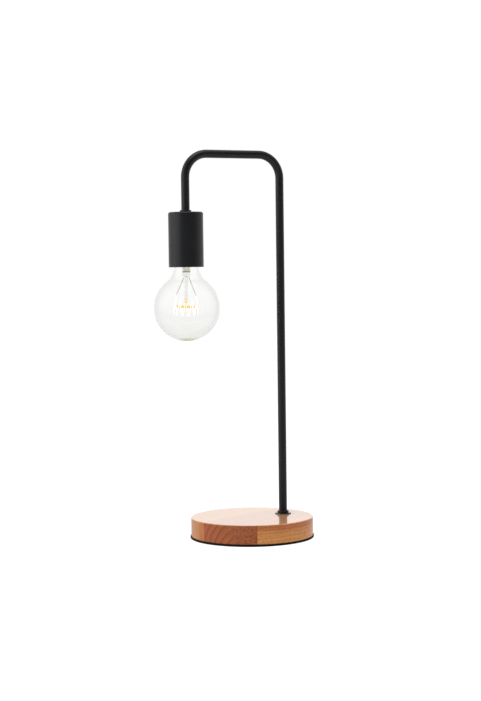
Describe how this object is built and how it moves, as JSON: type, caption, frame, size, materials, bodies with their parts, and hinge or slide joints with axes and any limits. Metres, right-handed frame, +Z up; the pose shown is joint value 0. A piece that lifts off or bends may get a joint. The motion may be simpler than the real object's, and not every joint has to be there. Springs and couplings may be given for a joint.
{
  "type": "table lamp",
  "caption": "Table lamp with a round wooden foot, a bent tube and a hanging cup that holds a clear globe bulb.",
  "frame": {"origin": "centre of the foot's underside, on the table", "axes": "+Z up; the arm lies along X, with the upright tube at +X and the bulb at -X; the cord inlet faces +Y"},
  "size_m": [0.2007, 0.152, 0.474],
  "materials": {
    "black_paint": "satin black powder coat",
    "wood": "clear lacquered light hardwood, glued staves",
    "black_foam": "matte closed-cell foam",
    "steel": "zinc plated",
    "brass": "bright",
    "copper_wire": "copper, bright",
    "bulb_glass": "clear, polished",
    "mount_glass": "clear, polished",
    "insulator_glass": "gloss black glass",
    "solder": "tinned",
    "phenolic": "satin moulded",
    "nylon": "satin moulded",
    "live_insulation": "satin brown PVC",
    "neutral_insulation": "satin blue PVC",
    "cement": "matte cement",
    "hot_wire": "glowing"
  },
  "bodies": {
    "lamp": {"base_pad": "black_foam", "wood_base": "wood", "weight_plate": "steel", "plate_screws": "steel", "cord_grommet": "phenolic", "stem_tube": "black_paint", "foot_washer": "black_paint", "foot_nut": "black_paint", "lower_washer": "steel", "lower_nut": "steel", "cup_collar": "black_paint", "cup_washer": "steel", "lower_bush": "nylon", "upper_bush": "nylon", "terminal_block": "nylon", "terminal_inserts": "brass", "terminal_screws": "steel", "block_screw": "steel", "live_wire": "live_insulation", "neutral_wire": "neutral_insulation", "socket_cup": "black_paint", "holder_cap": "phenolic", "grub_screw": "steel", "lampholder_body": "phenolic", "screw_shell": "brass", "shell_strap": "brass", "leaf_rivet": "brass", "holder_posts": "brass", "holder_screws": "steel"},
    "bulb_tip": {"tip_contact": "solder"},
    "bulb": {"bulb_glass": "bulb_glass", "bulb_cap": "brass", "cap_cement": "cement", "cap_insulator": "insulator_glass", "glass_stem": "mount_glass", "glass_rod": "mount_glass", "lead_wires": "copper_wire", "anchor_wires": "hot_wire", "filament": "hot_wire", "cap_leads": "copper_wire"},
    "leaf": {"centre_contact": "brass"}
  },
  "joints": [
    {"name": "bulb_travel", "type": "slide", "parent": "lamp", "child": "bulb_tip", "axis": [0, 0, -1], "range_m": [0, 0.0109]},
    {"name": "bulb_turn", "type": "hinge", "parent": "bulb_tip", "child": "bulb", "pos_m": [-0.0847, 0, 0.2844], "axis": [0, 0, -1], "range_deg": [0, 1080]},
    {"name": "contact_flex", "type": "hinge", "parent": "lamp", "child": "leaf", "pos_m": [-0.0847, 0.01, 0.3645], "axis": [-1, 0, 0], "range_deg": [0, 3], "stiffness_Nm_per_rad": 0.2}
  ],
  "couplings": [
    {"joint": "bulb_travel", "follows": "bulb_turn", "m_per_rad": 0.00057757}
  ]
}
